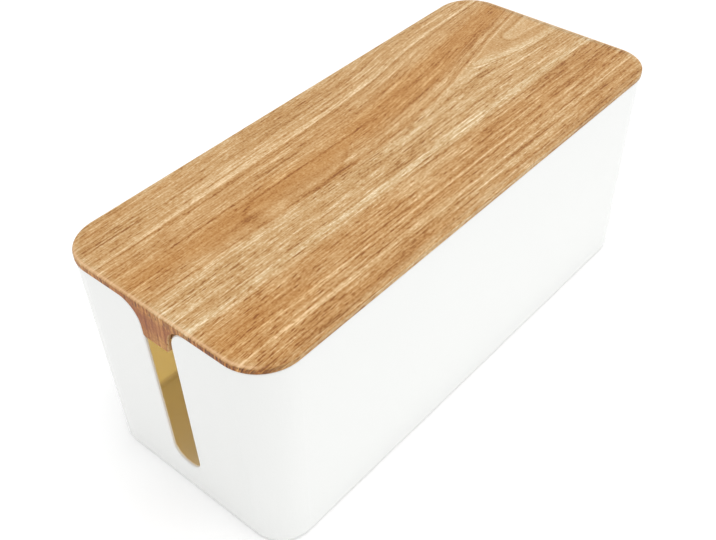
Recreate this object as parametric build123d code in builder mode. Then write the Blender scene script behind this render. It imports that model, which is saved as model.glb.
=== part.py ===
from build123d import *
from math import atan, degrees
import os

# A cable organizer: a long white moulded tub that hides a power strip and its slack cords,
# with a thin wood-look lid. Each end wall has a slot for the cords, open at the rim and flared
# at its shoulders. The lid lies on the rim, lifts straight off, and has a tab on each end that
# hangs into the mouth of the slot below it.
#
# X runs along the box, Y across it and Z up. The origin is under the middle of the box, on the
# surface that its feet stand on. All sizes are in millimetres.

os.makedirs("parts", exist_ok=True)

# The lid, which sets the size of the box seen from above
lid_length = 320.0
lid_width = 137.0
lid_corner = 22.5
lid_edge = 3.7
lid_plate = 2.2
lid_skirt = 2.2
lid_top_round = 1.0
lid_bevel = 0.4
lid_overhang = 0.5

# The tub: its walls draw in towards the base so that it leaves its mould
tub_height = 124.5
base_draw_in = 3.4
base_round = 1.5
tub_wall = 1.8
tub_floor = 2.5
floor_round = 3.0
outer_bevel = 0.5
inner_bevel = 0.3

# The underside: a shallow recess that leaves a band to stand on, and a round socket for each foot
base_recess = 1.0
base_band = 7.0
socket_depth = 0.8
socket_wall = 2.5

# The rubber feet
foot_diameter = 12.0
foot_thickness = 2.3
foot_bevel = 0.6
foot_clearance = 0.25
foot_inset = 19.0

# The cord slot in each end wall, a little narrower at its sill than at the rim
slot_width = 20.6
slot_draw_in = 0.8
slot_sill = 18.5
slot_sill_round = 8.5
shoulder_round = 13.0

# The tab on each end of the lid, which closes the mouth of the slot and narrows downwards
tab_clearance = 0.8
tab_draw_in = 0.9
tab_drop = 17.5
tab_thickness = 2.2
tab_corner = 1.5
mouth_margin = 2.0

# Under the lid: the lip that locates it inside the walls and closes the gap round each tab from
# behind, and the ribs that keep it flat
lip_clearance = 0.7
lip_thickness = 1.6
lip_drop = 11.0
rib_thickness = 1.4
rib_depth = 3.0
cross_rib_count = 3
web_thickness = 1.6
web_spacing = 9.0
web_drop = 13.0

# Levels above the ground
base_level = foot_thickness - socket_depth
rim_level = base_level + tub_height
floor_level = base_level + base_recess + tub_floor
sill_level = base_level + slot_sill
lid_top_level = rim_level + lid_edge
plate_level = lid_top_level - lid_plate

# Outlines that follow from the ones above
rim_length = lid_length - 2 * lid_overhang
rim_width = lid_width - 2 * lid_overhang
rim_corner = lid_corner - lid_overhang
lip_inset = lid_overhang + tub_wall + lip_clearance
foot_pitch_x = rim_length - 2 * (base_draw_in + foot_inset)
foot_pitch_y = rim_width - 2 * (base_draw_in + foot_inset)
socket_radius = foot_diameter / 2 + foot_clearance
draft_angle = degrees(atan(base_draw_in / tub_height))


def tub_outline(inset):
    """The tub seen from above, moved in from the outer edge of its rim."""
    RectangleRounded(rim_length - 2 * inset, rim_width - 2 * inset, rim_corner - inset)


def lid_outline(inset, mode=Mode.ADD):
    """The lid seen from above, moved in from its edge."""
    RectangleRounded(lid_length - 2 * inset, lid_width - 2 * inset, lid_corner - inset, mode=mode)


def mouth_outline(gap, draw_in, foot_level, foot_round, top_level):
    """The slot, or the tab that a gap parts from it, with flared shoulders, seen from the end."""
    half = slot_width / 2 - gap
    foot_half = half - draw_in
    flare = shoulder_round - gap
    reach = slot_width / 2 + shoulder_round + mouth_margin
    with BuildLine() as outline:
        FilletPolyline(
            (foot_half, foot_level),
            (half, rim_level),
            (reach, rim_level),
            (reach, top_level),
            (-reach, top_level),
            (-reach, rim_level),
            (-half, rim_level),
            (-foot_half, foot_level),
            radius=[foot_round, flare, 0, 0, 0, 0, flare, foot_round],
            close=True,
        )
    make_face(outline.edges())


def is_mouth_edge(edge, inward):
    """Whether an edge runs along the rim or a slot, on the wall's outer face or further in."""
    for vertex in edge.vertices():
        inset = inward + base_draw_in * (rim_level - vertex.Z) / tub_height
        outside = max(abs(vertex.X) - rim_length / 2, abs(vertex.Y) - rim_width / 2)
        if abs(outside + inset) > 0.001 or vertex.Z < sill_level - 0.001:
            return False
    return True


def is_lid_lower_edge(edge):
    """Whether an edge runs along the foot of the lid's side or round the front of a tab."""
    for vertex in edge.vertices():
        outside = max(abs(vertex.X) - lid_length / 2, abs(vertex.Y) - lid_width / 2)
        if abs(outside) > 0.001 or vertex.Z > rim_level + 0.001:
            return False
    return True


# The space inside the tub, whose walls have the same draft as the outside
with BuildPart() as cavity:
    with BuildSketch(Plane.XY.offset(rim_level)):
        tub_outline(tub_wall)
    extrude(amount=floor_level - rim_level)
    draft(cavity.faces().filter_by(Axis.Z, reverse=True), Plane.XY.offset(rim_level), -draft_angle)
    fillet(cavity.edges().group_by(Axis.Z)[0], floor_round)

# The tub
with BuildPart() as tub:
    with BuildSketch(Plane.XY.offset(rim_level)):
        tub_outline(0.0)
    extrude(amount=-tub_height)
    draft(tub.faces().filter_by(Axis.Z, reverse=True), Plane.XY.offset(rim_level), -draft_angle)
    fillet(tub.edges().group_by(Axis.Z)[0], base_round)
    add(cavity.part, mode=Mode.SUBTRACT)

    # A cord slot through each end wall
    with BuildSketch(Plane.YZ):
        mouth_outline(0.0, slot_draw_in, sill_level, slot_sill_round, rim_level + mouth_margin)
    extrude(amount=lid_length / 2, both=True, mode=Mode.SUBTRACT)
    chamfer(tub.edges().filter_by(lambda edge: is_mouth_edge(edge, 0.0)), outer_bevel)
    chamfer(tub.edges().filter_by(lambda edge: is_mouth_edge(edge, tub_wall)), inner_bevel)

    # Recess under the floor, with a ring left round each foot's socket
    with BuildSketch(Plane.XY.offset(base_level)):
        tub_outline(base_draw_in + base_band)
        with GridLocations(foot_pitch_x, foot_pitch_y, 2, 2):
            Circle(socket_radius + socket_wall, mode=Mode.SUBTRACT)
    extrude(amount=base_recess, mode=Mode.SUBTRACT)
    with BuildSketch(Plane.XY.offset(base_level)):
        with GridLocations(foot_pitch_x, foot_pitch_y, 2, 2):
            Circle(socket_radius)
    extrude(amount=socket_depth, mode=Mode.SUBTRACT)
tub.part.label = "tub"

# The lid
with BuildPart() as lid:
    with BuildSketch(Plane.XY.offset(rim_level)):
        lid_outline(0.0)
    extrude(amount=lid_edge)
    fillet(lid.edges().group_by(Axis.Z)[-1], lid_top_round)

    # A tab on each end, flush with the lid's edge
    for end in (-1, 1):
        with BuildSketch(Plane.YZ.offset(end * (lid_length / 2 - tab_thickness))):
            mouth_outline(tab_clearance, tab_draw_in, rim_level - tab_drop, tab_corner, plate_level)
        extrude(amount=end * tab_thickness)
    chamfer(lid.edges().filter_by(is_lid_lower_edge), lid_bevel)

    # Hollow underside, which leaves the plate and the skirt that rests on the rim
    with BuildSketch(Plane.XY.offset(rim_level)):
        lid_outline(lid_skirt)
    extrude(amount=plate_level - rim_level, mode=Mode.SUBTRACT)

    # Locating lip, just inside the tub's walls
    with BuildSketch(Plane.XY.offset(rim_level - lip_drop)):
        lid_outline(lip_inset)
        lid_outline(lip_inset + lip_thickness, Mode.SUBTRACT)
    extrude(amount=lip_drop + plate_level - rim_level)

    # Ribs, one along the middle and the rest across, inside the lip
    with BuildSketch(Plane.XY.offset(plate_level - rib_depth)):
        Rectangle(lid_length - 2 * lip_inset - lip_thickness, rib_thickness)
        with GridLocations(lid_length / (cross_rib_count + 1), 0, cross_rib_count, 1):
            Rectangle(rib_thickness, lid_width - 2 * lip_inset - lip_thickness)
    extrude(amount=rib_depth)

    # Two webs behind each tab, which tie it to the lip
    for end in (-1, 1):
        tab_middle = end * (lid_length / 2 - tab_thickness / 2)
        lip_middle = end * (lid_length / 2 - lip_inset - lip_thickness / 2)
        for side in (-1, 1):
            with BuildSketch(Plane.XZ.offset(side * web_spacing / 2)):
                with BuildLine():
                    Polyline(
                        (tab_middle, plate_level),
                        (tab_middle, rim_level - web_drop),
                        (lip_middle, rim_level - lip_drop),
                        (lip_middle, plate_level),
                        close=True,
                    )
                make_face()
            extrude(amount=web_thickness / 2, both=True)
lid.part.label = "lid"

# The rubber feet, each a disc with a soft lower edge, stuck in its socket
feet = []
for end, end_name in ((-1, "left"), (1, "right")):
    for side, side_name in ((-1, "front"), (1, "rear")):
        centre = (end * foot_pitch_x / 2, side * foot_pitch_y / 2, 0)
        with BuildPart() as foot:
            with BuildSketch(Plane(origin=centre)):
                Circle(foot_diameter / 2)
            extrude(amount=foot_thickness)
            chamfer(foot.edges().group_by(Axis.Z)[0], foot_bevel)
        foot.part.label = f"foot_{side_name}_{end_name}"
        feet.append(foot)

for piece in (tub, lid, *feet):
    export_step(piece.part, f"parts/{piece.part.label}.step")
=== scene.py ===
import math
import bpy
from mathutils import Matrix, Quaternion, Vector


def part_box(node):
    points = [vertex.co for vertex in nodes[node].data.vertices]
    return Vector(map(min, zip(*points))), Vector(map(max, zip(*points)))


# The look of a cable organizer: a glossy white moulded tub, a lid with a printed oak grain and
# four rubber feet. X runs along the box, Y across it and Z up. Blender works in metres, and the
# materials below measure in millimetres. The box is centred on X and Y.

MM = 0.001

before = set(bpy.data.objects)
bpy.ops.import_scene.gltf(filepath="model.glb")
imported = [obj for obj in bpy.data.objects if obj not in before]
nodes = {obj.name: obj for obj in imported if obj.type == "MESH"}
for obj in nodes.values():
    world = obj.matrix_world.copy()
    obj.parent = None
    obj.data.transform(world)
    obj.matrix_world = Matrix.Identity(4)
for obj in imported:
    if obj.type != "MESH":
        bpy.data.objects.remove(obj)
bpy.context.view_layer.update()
scene = bpy.context.scene
scene.view_settings.view_transform = "Standard"

lid_low, lid_high = (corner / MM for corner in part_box("lid"))
tub_low, tub_high = (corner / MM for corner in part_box("tub"))

# ---------------------------------------------------------------- camera

# Fitted to the outlines of the lid, the tub and the slot in the photograph
CAMERA_PLACE = Vector((-335.56, -281.64, 433.25)) * MM
CAMERA_AIM = Vector((-25.33, -0.64, 60.0)) * MM
CAMERA_ROLL = math.radians(-2.008)
CAMERA_LENS = 51.395
CAMERA_SENSOR = 36.0
NEAREST_SEEN = 10 * MM

camera = bpy.data.objects.new("camera", bpy.data.cameras.new("camera"))
scene.collection.objects.link(camera)
scene.camera = camera
camera.data.sensor_width = CAMERA_SENSOR
camera.data.lens = CAMERA_LENS
camera.data.clip_start = NEAREST_SEEN
camera.location = CAMERA_PLACE
camera.rotation_mode = "QUATERNION"
camera.rotation_quaternion = (CAMERA_AIM - CAMERA_PLACE).to_track_quat("-Z", "Y") @ Quaternion(
    (0, 0, 1), CAMERA_ROLL
)

# ---------------------------------------------------------------- materials as node graphs


class Value:
    """A number that varies over a surface. Arithmetic with it adds nodes to its graph."""

    def __init__(self, graph, socket):
        self.graph = graph
        self.socket = socket

    def __add__(self, other):
        return self.graph.math("ADD", self, other)

    def __sub__(self, other):
        return self.graph.math("SUBTRACT", self, other)

    def __rsub__(self, other):
        return self.graph.math("SUBTRACT", other, self)

    def __mul__(self, other):
        return self.graph.math("MULTIPLY", self, other)

    def __truediv__(self, other):
        return self.graph.math("DIVIDE", self, other)

    def __abs__(self):
        return self.graph.math("ABSOLUTE", self)

    def at_least(self, other):
        return self.graph.math("MAXIMUM", self, other)

    def at_most(self, other):
        return self.graph.math("MINIMUM", self, other)

    def rises(self, low, high):
        """0 below low, 1 above high and smooth between them."""
        node = self.graph.node(
            "MapRange",
            {"Value": self, "From Min": low, "From Max": high},
            interpolation_type="SMOOTHSTEP",
        )
        return Value(self.graph, node.outputs["Result"])

    def falls(self, low, high):
        """1 below low, 0 above high and smooth between them."""
        return 1.0 - self.rises(low, high)

    def spell(self, start, full, fade, end):
        """1 from full to fade, 0 before start and after end."""
        return self.rises(start, full) * self.falls(fade, end)

    def bell(self, middle, width):
        """1 at the middle, falling smoothly to 0 either side of it."""
        away = (self - middle) / width
        return self.graph.math("EXPONENT", away * away * -1.0)

    def curve(self, points, low, high):
        """A smooth curve through (value, result) points, whose results lie from low to high."""
        start, end = points[0][0], points[-1][0]
        node = self.graph.node("FloatCurve", {"Value": (self - start) / (end - start)})
        line = node.mapping.curves[0]
        spots = [((at - start) / (end - start), (to - low) / (high - low)) for at, to in points]
        line.points[0].location, line.points[-1].location = spots[0], spots[-1]
        for spot in spots[1:-1]:
            line.points.new(*spot)
        node.mapping.update()
        return Value(self.graph, node.outputs["Value"]) * (high - low) + low


class Graph:
    """The node tree of a material. Most methods add a node and return what it gives."""

    def __init__(self, name):
        self.material = bpy.data.materials.new(name)
        self.material.use_nodes = True
        self.tree = self.material.node_tree
        self.shader = self.tree.nodes["Principled BSDF"]
        self.coordinates = self.node("TexCoord").outputs

    def node(self, kind, inputs=None, **settings):
        node = self.tree.nodes.new("ShaderNode" + kind)
        for name, value in settings.items():
            setattr(node, name, value)
        for name, value in (inputs or {}).items():
            self.put(node.inputs[name], value)
        return node

    def put(self, socket, value):
        if isinstance(value, Value):
            value = value.socket
        if isinstance(value, bpy.types.NodeSocket):
            self.tree.links.new(value, socket)
        else:
            socket.default_value = value

    def set(self, name, value):
        """Sets or links an input of the shader."""
        self.put(self.shader.inputs[name], value)

    def math(self, operation, *values):
        node = self.node("Math", operation=operation)
        for socket, value in zip(node.inputs, values):
            self.put(socket, value)
        return Value(self, node.outputs[0])

    def parts(self, coordinate):
        """The X, Y and Z of a texture coordinate."""
        node = self.node("SeparateXYZ", {"Vector": self.coordinates[coordinate]})
        return [Value(self, output) for output in node.outputs]

    def noise(self, vector, scale=1.0, detail=1.0):
        """Noise from about -1 to 1. Its features are about 1 / scale apart along the vector."""
        node = self.node("TexNoise", {"Vector": vector, "Scale": scale, "Detail": detail})
        return (Value(self, node.outputs["Fac"]) - 0.5) * 2.0

    def noise_at(self, x, y, seed, detail=1.0):
        """Noise with features about 1 apart in x and in y. Each seed gives another pattern."""
        vector = self.node("CombineXYZ", {"X": x, "Y": y, "Z": seed}).outputs[0]
        return self.noise(vector, detail=detail)

    def ramp(self, value, stops):
        """A colour that runs through (value, colour) stops."""
        node = self.node("ValToRGB", {"Fac": value})
        row = node.color_ramp.elements
        for stop, (at, colour) in zip(row, (stops[0], stops[-1])):
            stop.position, stop.color = at, colour
        for at, colour in stops[1:-1]:
            row.new(at).color = colour
        return node.outputs["Color"]

    def mix(self, share, a, b, blend="MIX"):
        """Colour a with a share of colour b over it."""
        node = self.node("Mix", data_type="RGBA", blend_type=blend)
        sockets = {socket.identifier: socket for socket in (*node.inputs, *node.outputs)}
        for name, value in (("Factor_Float", share), ("A_Color", a), ("B_Color", b)):
            self.put(sockets[name], value)
        return sockets["Result_Color"]

    def tint(self, share, colour, red, green, blue):
        """The colour with its red, green and blue multiplied, over a share of the surface."""
        tinted = self.mix(1.0, colour, (red, green, blue, 1.0), "MULTIPLY")
        return self.mix(share, colour, tinted)

    def bump(self, height, distance):
        """Makes the surface look uneven, by a height times a distance in metres."""
        node = self.node("Bump", {"Height": height, "Distance": distance})
        self.set("Normal", node.outputs["Normal"])


def total(values):
    """The sum of values that vary over a surface."""
    first, *others = values
    return sum(others, first)


def screen(red, green, blue):
    """A colour given as it shows on a screen, 0 to 255, as the light that a shader works in."""
    shares = (channel / 255 for channel in (red, green, blue))
    light = (c / 12.92 if c <= 0.04045 else ((c + 0.055) / 1.055) ** 2.4 for c in shares)
    return (*light, 1.0)


def inset_in(x, y, half_x, half_y, corner):
    """How far a point lies in from the outline of a centred rectangle with rounded corners."""
    past = [abs(place) - (half - corner) for place, half in ((x, half_x), (y, half_y))]
    beyond = [distance.at_least(0.0) for distance in past]
    round_corner = x.graph.math("SQRT", total(distance * distance for distance in beyond))
    return corner - (round_corner + past[0].at_least(past[1]).at_most(0.0))


def dress(names, material):
    """Gives CAD nodes their material."""
    for name in names:
        for slot in nodes[name].material_slots:
            slot.material = material


# ---------------------------------------------------------------- wood-look lid

# The radius of the lid's corners, as in the part's source
LID_CORNER = 22.5

wood = Graph("oak_print")
x, y, z = (place * (1 / MM) for place in wood.parts("Object"))
facing_x, facing_y, facing_z = wood.parts("Normal")
inset = inset_in(x, y, lid_high.x, lid_high.y, LID_CORNER)
drop = (lid_high.z - z).at_least(0.0)

# The print is one film wrapped over the lid's edges: along is measured from the near end, which
# is at -X, and across from the rear edge, at +Y, both in millimetres over the surface.
along = x + facing_x * drop - lid_low.x
across = lid_high.y - (y + facing_y * drop)

# Across the grain, with its slow wander
WANDER = 0.3
across_w = across + wood.noise_at(across * 0.02, along * 0.006, 1.7) * WANDER

# The figure, as (along, across) points. Towards the far end the heart of the grain splits into
# two arms, with nested curves between them. On the left the lines share out the space between
# the heart and a guide line. On the right they are straight but for the nearest ones, which
# bend with the arm.
LEFT_ARM = [
    (-20, 65.5), (0, 66), (60, 67), (120, 68.5), (160, 68.5), (180, 67), (200, 64.5),
    (230, 60), (252, 54.5), (280, 48), (310, 42), (340, 37),
]
RIGHT_ARM = [
    (-20, 65.5), (0, 66), (60, 67), (120, 68.5), (160, 69), (180, 67.5), (200, 65),
    (230, 61), (243, 61), (256, 63), (280, 68), (310, 71), (340, 73),
]
LEFT_GUIDE = [
    (-20, 28.3), (0, 28), (60, 27.3), (100, 26), (160, 25), (200, 22), (230, 17.5),
    (260, 14), (310, 12), (340, 11),
]
HEART = 68.0
HEART_ROUNDING = 2.5
GUIDE_RING = 40.0
# The bend of the right-hand lines fades out over this distance from the arm, and stops growing
# this far inside it.
BEND_FADES = 10.0
BEND_STOPS = -6.0

left_arm = along.curve(LEFT_ARM, 30, 80)
right_arm = along.curve(RIGHT_ARM, 30, 80)
left_guide = along.curve(LEFT_GUIDE, 5, 35)

# ring tells how far out a line of the grain lies from the heart: millimetres on the right, and
# on the left shares of the way to the guide line. It is below 0 between the arms.
left_out = (left_arm - across_w) * GUIDE_RING / (left_arm - left_guide)
past_arm = (across_w - right_arm).at_least(BEND_STOPS)
bend_left = wood.math("EXPONENT", past_arm / -BEND_FADES)
right_out = across_w - HEART - (right_arm - HEART) * bend_left
ring = wood.math("SMOOTH_MAX", left_out, right_out, HEART_ROUNDING)
right = (right_out - left_out).rises(-0.6, 0.6)
left = 1.0 - right
# Moves the noise on the right away from that on the left, so that the two sides differ
TURN = 3.0
turn = ring.rises(-1.0, 3.0) * (right * TURN)


def layer(width, length, seed):
    """Stripes that follow the grain, about as wide and as long as asked, in millimetres."""
    return wood.noise_at(ring / width, along / length, turn + seed)


# The plain island near the middle. Its rear edge is straight and its front edge bulges.
ISLAND_FRONT = [
    (60, 66), (80, 66.5), (95, 66), (112, 67.5), (125, 66.5), (136, 62), (146, 56), (158, 50),
    (190, 44),
]
ISLAND_REAR = 48.2
past_rear = across_w - ISLAND_REAR
before_front = along.curve(ISLAND_FRONT, 40, 70) - across_w
island = past_rear.rises(0.0, 1.2) * before_front.rises(-0.5, 1.5) * along.rises(74.0, 80.0)
# The plain brown strip below it, as (along, half its width), narrows towards the near end
STRIP = [(0, 0), (22, 0), (40, 4.5), (55, 6.5), (70, 8.5), (80, 8.5)]
STRIP_MIDDLE = 56.5
strip_edge = along.curve(STRIP, 0, 10) - abs(across_w - STRIP_MIDDLE)
strip = strip_edge.rises(-1.0, 1.5) * along.falls(70.0, 78.0)
between_arms = (ring * -1.0).rises(0.0, 2.5)
plain = (island + strip * 0.8 + between_arms).at_most(1.0)
# How strongly the grain is marked: weakly where the board is plain, and more on the right
marked = (1.0 - plain * 0.72) * (right * 0.18 + 0.88)

# Noise along the grain, from broad bands to threads
bands = layer(10.0, 260.0, 3.1)
stripes = layer(3.4, 160.0, 7.3)
lines = layer(1.45, 60.0, 11.9)
hairs = layer(0.95, 26.0, 15.4)
threads = layer(0.55, 8.0, 19.8)
# Fine lines side by side at an even pitch, strong in places
RADIANS_PER_MM = 2.6
sway = wood.noise_at(ring * 0.07, along * 0.007, 61.0, detail=2.0)
row_strength = wood.noise_at(ring * 0.12, along * 0.012, 67.0).rises(-0.45, 0.35)
row = wood.math("SINE", ring * RADIANS_PER_MM + sway * 5.0 + turn * 2.0) * row_strength
# Noise in the ground, from clouds to grit
cloud = wood.noise_at(across * 0.030, along * 0.015, 5.0)
mottle = wood.noise_at(across * 0.20, along * 0.07, 23.0, detail=3.0)
speckle = wood.noise_at(across, along * 0.45, 29.0, detail=2.0)
grit = wood.noise_at(across * 0.8, along * 0.8, 47.0)
# Pores: short dark dashes, thick in places and sparse in others, at a slight slant
slant = across_w + along * 0.10
dashes = wood.noise_at(slant * 1.15, along * 0.17, 31.0)
density = wood.noise_at(ring * 0.16, along * 0.02, 37.0)
pores = (dashes + density * 0.35 - lines * 0.25).rises(0.05, 0.55)
front_corner = across_w.rises(80.0, 105.0) * along.falls(30.0, 110.0)

# tone runs from 0, the darkest wood, to 1, the palest
MIDDLE_TONE = 0.50
grain = stripes * 0.18 + lines * 0.33 + row * 0.075 + hairs * 0.38 + threads * 0.34
ground = bands * 0.10 + cloud * 0.12 + mottle * 0.20 + speckle * 0.32 + grit * 0.26
dark_lines = lines.rises(0.12, 0.5) * 0.14
dark_pores = pores * (marked + 0.4 + front_corner * 0.7) * 0.20
tone = (grain - dark_lines) * marked + ground - dark_pores + MIDDLE_TONE


def strokes(marks):
    """Soft strokes along the grain, each as (ring of its middle, width, strength, where)."""
    return total(
        ring.bell(middle, width) * strength * share for middle, width, strength, share in marks
    )


# Where some of the strokes are
split = along.spell(225, 250, 330, 340)
near = along.falls(25, 70)
far_right = right * along.rises(240, 270)
front_rim = right * along.spell(115, 135, 235, 255)
right_middle = right * along.spell(120, 142, 180, 202)
left_middle = left * along.spell(125, 140, 180, 200)

# Lighter and darker streaks
tone += strokes([
    (40.0, 1.6, 0.27, left), (37.2, 0.9, -0.24, left), (47.5, 1.8, 0.06, left),
    (54.0, 2.5, -0.06, left), (25.0, 1.2, 0.06, left), (50.5, 0.8, -0.10, left),
    (33.0, 0.8, 0.10, left), (9.0, 1.0, -0.10, left), (5.0, 1.2, 0.10, left),
    (1.6, 0.8, -0.16, left), (-0.8, 1.3, 0.17, left * split),
    (14.0, 8.0, -0.05, left * along.rises(185, 215)),
    (24.0, 2.0, 0.10, right), (28.0, 1.0, -0.12, right), (46.0, 0.9, 0.26, right),
    (43.6, 1.0, -0.14, right), (55.0, 1.0, 0.20, right), (58.0, 1.4, -0.12, right),
    (64.0, 4.0, -0.06, right), (-2.0, 3.0, 0.15, right * split),
    (2.6, 1.2, -0.12, right * split), (36.0, 20.0, -0.08, far_right),
    (61.0, 4.0, 0.13, front_rim), (32.0, 6.0, 0.09, right_middle),
    (0.5, 2.2, 0.12, along.spell(180, 215, 238, 252)),
])
# The innermost curve at the far end: a pale tongue with a round foot, dark outside, that grows
# wider towards the far end
TONGUE_MIDDLE = 54.8
TONGUE_FOOT = 292.0
TONGUE_RADIUS = 3.6
TONGUE_SPREADS = 0.12
tongue_x = across_w - TONGUE_MIDDLE
above_foot = along - TONGUE_FOOT
below_foot = above_foot.at_most(0.0)
from_foot = wood.math("SQRT", tongue_x * tongue_x + below_foot * below_foot)
tongue_edge = from_foot - (above_foot.at_least(0.0) * TONGUE_SPREADS + TONGUE_RADIUS)
tone += tongue_edge.falls(-1.4, 0.7) * 0.12
tone += tongue_edge.bell(-0.6, 1.1) * 0.11
tone -= tongue_edge.bell(1.7, 1.0) * 0.16
# The island's dark edges, the dark wing that closes its near end, and a knot beside it
WING_MIDDLE = 58.0
WING_REACH = 8.0
WING_TIP = 70.5
wing_out = (across_w - WING_MIDDLE) / WING_REACH
past_wing = along - (wing_out * wing_out * (wing_out * -2.0 + 6.0) + WING_TIP)
tone -= past_rear.bell(0.3, 0.8) * along.spell(74, 84, 150, 180) * 0.30
tone -= before_front.bell(0.9, 1.5) * along.spell(92, 104, 138, 150) * 0.20
tone -= past_wing.bell(0.0, 3.6) * across_w.spell(45, 50, 66, 71) * 0.17
tone -= strip * 0.02
tone -= across_w.bell(66.0, 2.3) * along.bell(133.0, 6.5) * 0.24
# Lighter patches beside them
tone += across_w.bell(61.5, 5.5) * along.spell(77, 83, 88, 96) * 0.15
tone += across_w.bell(67.0, 2.0) * along.spell(0, 12, 52, 64) * 0.14

OAK = [
    (0.0, screen(138, 87, 43)),
    (0.18, screen(163, 113, 62)),
    (0.38, screen(181, 135, 84)),
    (0.55, screen(191, 149, 101)),
    (0.75, screen(206, 170, 125)),
    (1.0, screen(231, 197, 156)),
]
BROWN_OAK = (1.095, 1.000, 0.805)
PALE_OAK = (1.29, 1.53, 1.82)
colour = wood.ramp(tone, OAK)

# Pale stretches of the board and browner ones: the paler oak's share, and how far it varies
MIDDLE_SHARE = 0.44
SHARE_VARIES = 0.43
pale = wood.noise_at(across * 0.09, along * 0.035, 41.0, detail=3.0) * 0.55
pale += strokes([
    (17.0, 9.0, -0.95, left), (34.0, 4.0, -0.20, left), (41.0, 4.0, 0.10, left),
    (52.0, 8.0, 0.42, left), (19.0, 9.0, -0.68, left * along.rises(120, 180)),
    (37.5, 6.0, 0.45, left * along.rises(150, 220)), (17.0, 8.0, 0.40, left_middle),
    (4.0, 5.0, 0.65, right), (13.0, 8.0, 0.72, right), (23.5, 3.6, 1.20, right),
    (36.0, 7.0, -0.40, right), (46.0, 6.0, -0.40, right), (65.0, 6.0, -0.35, right),
    (44.0, 20.0, -0.55, right * near), (-2.5, 4.0, 0.75, right * split),
    (12.0, 8.0, -0.45, right * along.rises(235, 265)), (61.0, 5.0, 0.55, front_rim),
    (34.0, 8.0, 0.42, right_middle), (-10.0, 4.0, 0.40, 1.0),
])
pale -= (island + strip) * 0.25
colour = wood.mix(
    pale * SHARE_VARIES + MIDDLE_SHARE,
    wood.tint(1.0, colour, *BROWN_OAK),
    wood.tint(1.0, colour, *PALE_OAK),
)

# Over the edges the colour is painted darker and redder on the ends, as painted shade, and paler
# on the long sides, as painted light.
# The ends of its lines show as dark and light ticks on the lid's edge.
FRONT_BORDER = 134.8
FAR_BORDER = 317.8
turned = abs(facing_z).falls(0.15, 0.75)
over_end = turned * abs(facing_x)
over_side = turned * (1.0 - abs(facing_x))
edge_band = over_end * drop.falls(3.4, 4.4)
ticks = wood.noise_at(across * 0.95, along * 0.12, 53.0, detail=2.0)
front_end = across.rises(70.0, 125.0)
dark_ticks = edge_band * (ticks + front_end * 0.22).rises(0.0, 0.40)
light_ticks = edge_band * (front_end * 0.1 - ticks).rises(0.0, 0.40)
but_middle = over_end * (1.0 - drop.spell(3.5, 7.0, 12.0, 17.0))
# The tints, each as (where, red, green, blue)
FILM_TINTS_AND_PAINTED_SHADE = [
    (dark_ticks, 0.36, 0.34, 0.40),
    (light_ticks, 1.40, 1.65, 2.00),
    # Painted light on the long sides, painted shade on the ends, and less of that shade on the
    # ends away from the tab
    (over_side, 1.02, 1.10, 1.16),
    (over_end, 0.66, 0.35, 0.165),
    (but_middle, 1.165, 1.39, 1.315),
    # Borders of the top: all round, along the front and along the far end
    (inset.bell(2.0, 1.6), 1.00, 1.06, 1.14),
    (across.bell(FRONT_BORDER, 1.7), 0.90, 0.85, 0.80),
    (along.bell(FAR_BORDER, 1.7), 0.85, 0.90, 1.00),
]
for share, *tint in FILM_TINTS_AND_PAINTED_SHADE:
    colour = wood.tint(share, colour, *tint)
# A painted highlight: a light line where the film bends over the ends
PAINTED_HIGHLIGHT = screen(237, 196, 153)
at_end = (abs(x) - abs(y) - (lid_high.x - lid_high.y)).rises(-6.0, 12.0)
bend = inset.bell(0.95, 0.75) * drop.falls(0.5, 1.1) * at_end
colour = wood.mix(bend * 0.60, colour, PAINTED_HIGHLIGHT)

# Below the film and inside its skin the lid is plain tan plastic, as it left the mould
TAN = [(0.0, screen(196, 150, 104)), (1.0, screen(206, 161, 115))]
moulded = inset.rises(0.5, 0.9) * drop.rises(1.2, 1.6)
blotches = wood.noise(wood.coordinates["Object"], scale=45.0, detail=4.0)
colour = wood.mix(moulded, colour, wood.ramp(blotches * 0.5 + 0.5, TAN))

wood.set("Base Color", colour)
wood.set("Roughness", threads * 0.06 + 0.42)
wood.set("Specular IOR Level", 0.25)
wood.bump(hairs * 0.4 - pores * 0.6, 0.06 * MM)
dress(["lid"], wood.material)

# ---------------------------------------------------------------- white tub

# The wall's thickness, how far it draws in towards the base, and the radius of the rim's corners,
# as in the part's source
WALL = 1.8
DRAW_IN = 3.4
TUB_CORNER = 22.0
WHITE = screen(248, 249, 247)
# A faint cream painted over the inside, as a painted warm tint of the light in the box, and a
# painted warm glow on the inner walls with its strength
PAINTED_WARM_INSIDE = screen(248, 246, 238)
PAINTED_GLOW = (1.0, 0.70, 0.20, 1.0)
PAINTED_GLOW_STRENGTH = 0.22

plastic = Graph("white_plastic")
point = plastic.coordinates["Object"]
haze = plastic.noise(point, scale=60.0, detail=3.0)
ripple = plastic.noise(point, scale=900.0, detail=2.0)
x, y, z = (place * (1 / MM) for place in plastic.parts("Object"))

# The inner walls get a painted warm glow. It is an emission that stands in for light coming
# through the thin walls into the closed box, and it fades out towards the rim. The inside is also
# painted a faint cream, a painted warm tint of that light. depth is how far a point lies in from
# the wall's outer face, which draws in downwards.
drawn = (tub_high.z - z) * (DRAW_IN / (tub_high.z - tub_low.z))
depth = inset_in(x, y, tub_high.x, tub_high.y, TUB_CORNER) - drawn
inside = depth.rises(1.0, WALL) * z.rises(3.0, 5.0)
painted_glow = depth.rises(1.2, WALL) * (z.rises(5.0, 9.0) - z.rises(60.0, 120.0))

plastic.set("Base Color", plastic.mix(inside, WHITE, PAINTED_WARM_INSIDE))
plastic.set("Roughness", haze * 0.03 + 0.20)
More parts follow.
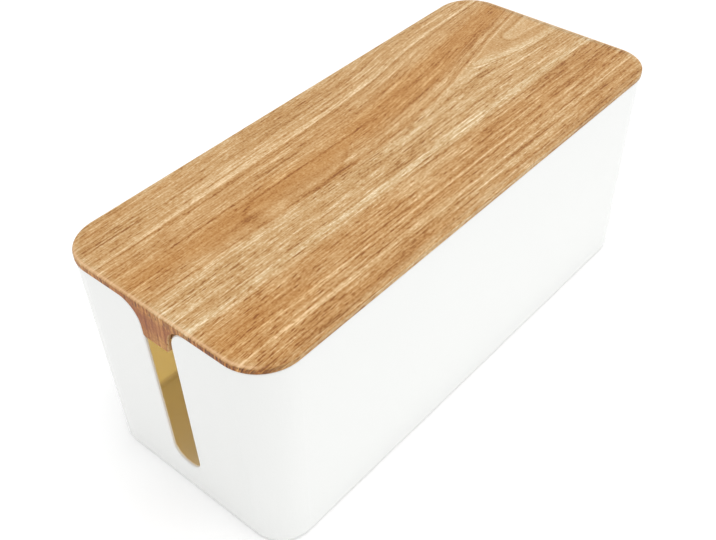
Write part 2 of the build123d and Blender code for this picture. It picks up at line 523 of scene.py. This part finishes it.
# The painted glow: emission on the inner walls, though the tub is no lamp
plastic.set("Emission Color", PAINTED_GLOW)
plastic.set("Emission Strength", painted_glow * PAINTED_GLOW_STRENGTH)
plastic.bump(ripple, 0.02 * MM)
dress(["tub"], plastic.material)

# ---------------------------------------------------------------- rubber feet

RUBBER = [(0.0, (0.30, 0.30, 0.29, 1.0)), (1.0, (0.40, 0.40, 0.39, 1.0))]

rubber = Graph("grey_rubber")
grains = rubber.noise(rubber.coordinates["Object"], scale=1500.0, detail=3.0)
rubber.set("Base Color", rubber.ramp(grains + 0.5, RUBBER))
rubber.set("Roughness", 0.85)
rubber.bump(grains, 0.05 * MM)
dress([name for name in nodes if name.startswith("foot")], rubber.material)

# ---------------------------------------------------------------- floor, sky and lights

FLOOR_REACH = 6.0
FLOOR_SHADE = (0.95, 0.95, 0.95, 1.0)
FLOOR_GLOW = 0.14
SKY_STRENGTH = 0.56
PURE_WHITE = (1.0, 1.0, 1.0, 1.0)
SQUARE = ((-1, -1), (1, -1), (1, 1), (-1, 1))

floor_mesh = bpy.data.meshes.new("floor")
floor_mesh.from_pydata(
    [(x * FLOOR_REACH, y * FLOOR_REACH, 0.0) for x, y in SQUARE],
    [],
    [(0, 1, 2, 3)],
)
floor = bpy.data.objects.new("floor", floor_mesh)
scene.collection.objects.link(floor)
ground_cover = Graph("pale_floor")
ground_cover.set("Base Color", FLOOR_SHADE)
ground_cover.set("Roughness", 0.9)
ground_cover.set("Specular IOR Level", 0.0)
# Lit a little from within, as a table with a glowing top
ground_cover.set("Emission Color", PURE_WHITE)
ground_cover.set("Emission Strength", FLOOR_GLOW)
floor_mesh.materials.append(ground_cover.material)

sky = bpy.data.worlds.new("soft_sky")
sky.use_nodes = True
sky_light = sky.node_tree.nodes["Background"].inputs
sky_light["Color"].default_value = PURE_WHITE
sky_light["Strength"].default_value = SKY_STRENGTH
scene.world = sky


def soft_light(name, place, aim, width, height, power):
    """A rectangular light, with places and sizes in metres and its power in watts."""
    light = bpy.data.lights.new(name, "AREA")
    light.shape = "RECTANGLE"
    light.size = width
    light.size_y = height
    light.energy = power
    lamp = bpy.data.objects.new(name, light)
    scene.collection.objects.link(lamp)
    lamp.location = place
    lamp.rotation_mode = "QUATERNION"
    lamp.rotation_quaternion = (Vector(aim) - Vector(place)).to_track_quat("-Z", "Y")


soft_light("overhead", (0.15, -0.60, 4.0), (0.0, 0.0, 0.0), 4.0, 4.0, 107.0)
soft_light("right", (1.6, -2.2, 0.9), (0.0, 0.0, 0.06), 1.6, 1.2, 1.0)
